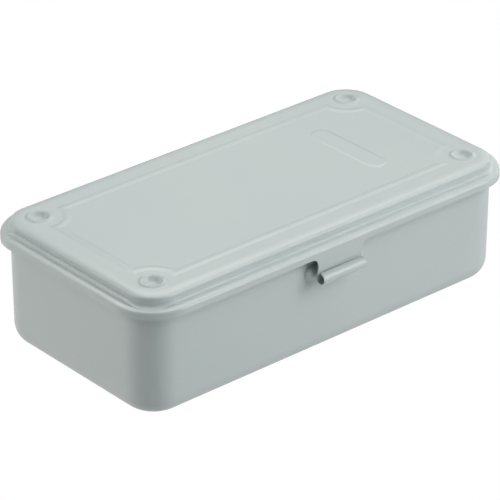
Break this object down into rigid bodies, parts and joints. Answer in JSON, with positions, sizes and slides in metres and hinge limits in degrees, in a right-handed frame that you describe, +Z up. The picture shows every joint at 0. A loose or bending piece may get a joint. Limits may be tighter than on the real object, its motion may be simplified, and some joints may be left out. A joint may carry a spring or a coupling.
{
  "type": "metal tool box",
  "caption": "Small pressed-steel tool box with a hinged lid, stacking rings pressed in the lid corners and a curled finger tab at the front.",
  "frame": {"origin": "middle of the flat underside, halfway along the length and under the middle of the lid's skirt", "axes": "+Z up, +X along the length, the finger tab faces -Y and the hinges are at +Y"},
  "size_m": [0.203, 0.1159, 0.0565],
  "materials": {
    "paint": "satin",
    "pin_steel": "plain"
  },
  "bodies": {
    "tool_box": {"body_shell": "paint", "hinge_left_body_leaf": "paint", "hinge_left_pin": "pin_steel", "hinge_right_body_leaf": "paint", "hinge_right_pin": "pin_steel"},
    "lid": {"lid_shell": "paint", "hinge_left_lid_leaf": "paint", "hinge_right_lid_leaf": "paint"}
  },
  "joints": [
    {"name": "lid_hinge", "type": "hinge", "parent": "tool_box", "child": "lid", "pos_m": [0, 0.0557, 0.0464], "axis": [-1, 0, 0], "range_deg": [0, 108]}
  ]
}
